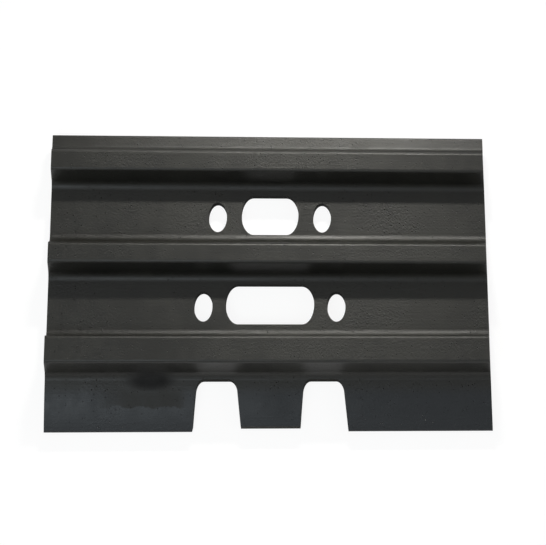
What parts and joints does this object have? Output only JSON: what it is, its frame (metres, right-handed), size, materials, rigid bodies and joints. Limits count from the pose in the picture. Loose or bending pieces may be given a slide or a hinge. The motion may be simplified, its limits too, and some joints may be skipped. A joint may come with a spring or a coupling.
{
  "type": "excavator track shoe",
  "caption": "Rolled steel triple-grouser track shoe with bolt holes, mud slots and link relief notches, for the crawler chain of an excavator.",
  "frame": {"origin": "middle of the four bolt holes, on the face that lies on the chain links", "axes": "+X along the width of the shoe, +Y along the travel of the track towards the trailing lip, +Z from the chain towards the ground, so the grousers stand up"},
  "size_m": [0.61, 0.2463, 0.0481],
  "materials": {
    "painted_steel": "semi-gloss black paint over slightly pitted hot-rolled steel"
  },
  "bodies": {
    "root": {"track_shoe": "painted_steel"}
  },
  "joints": []
}
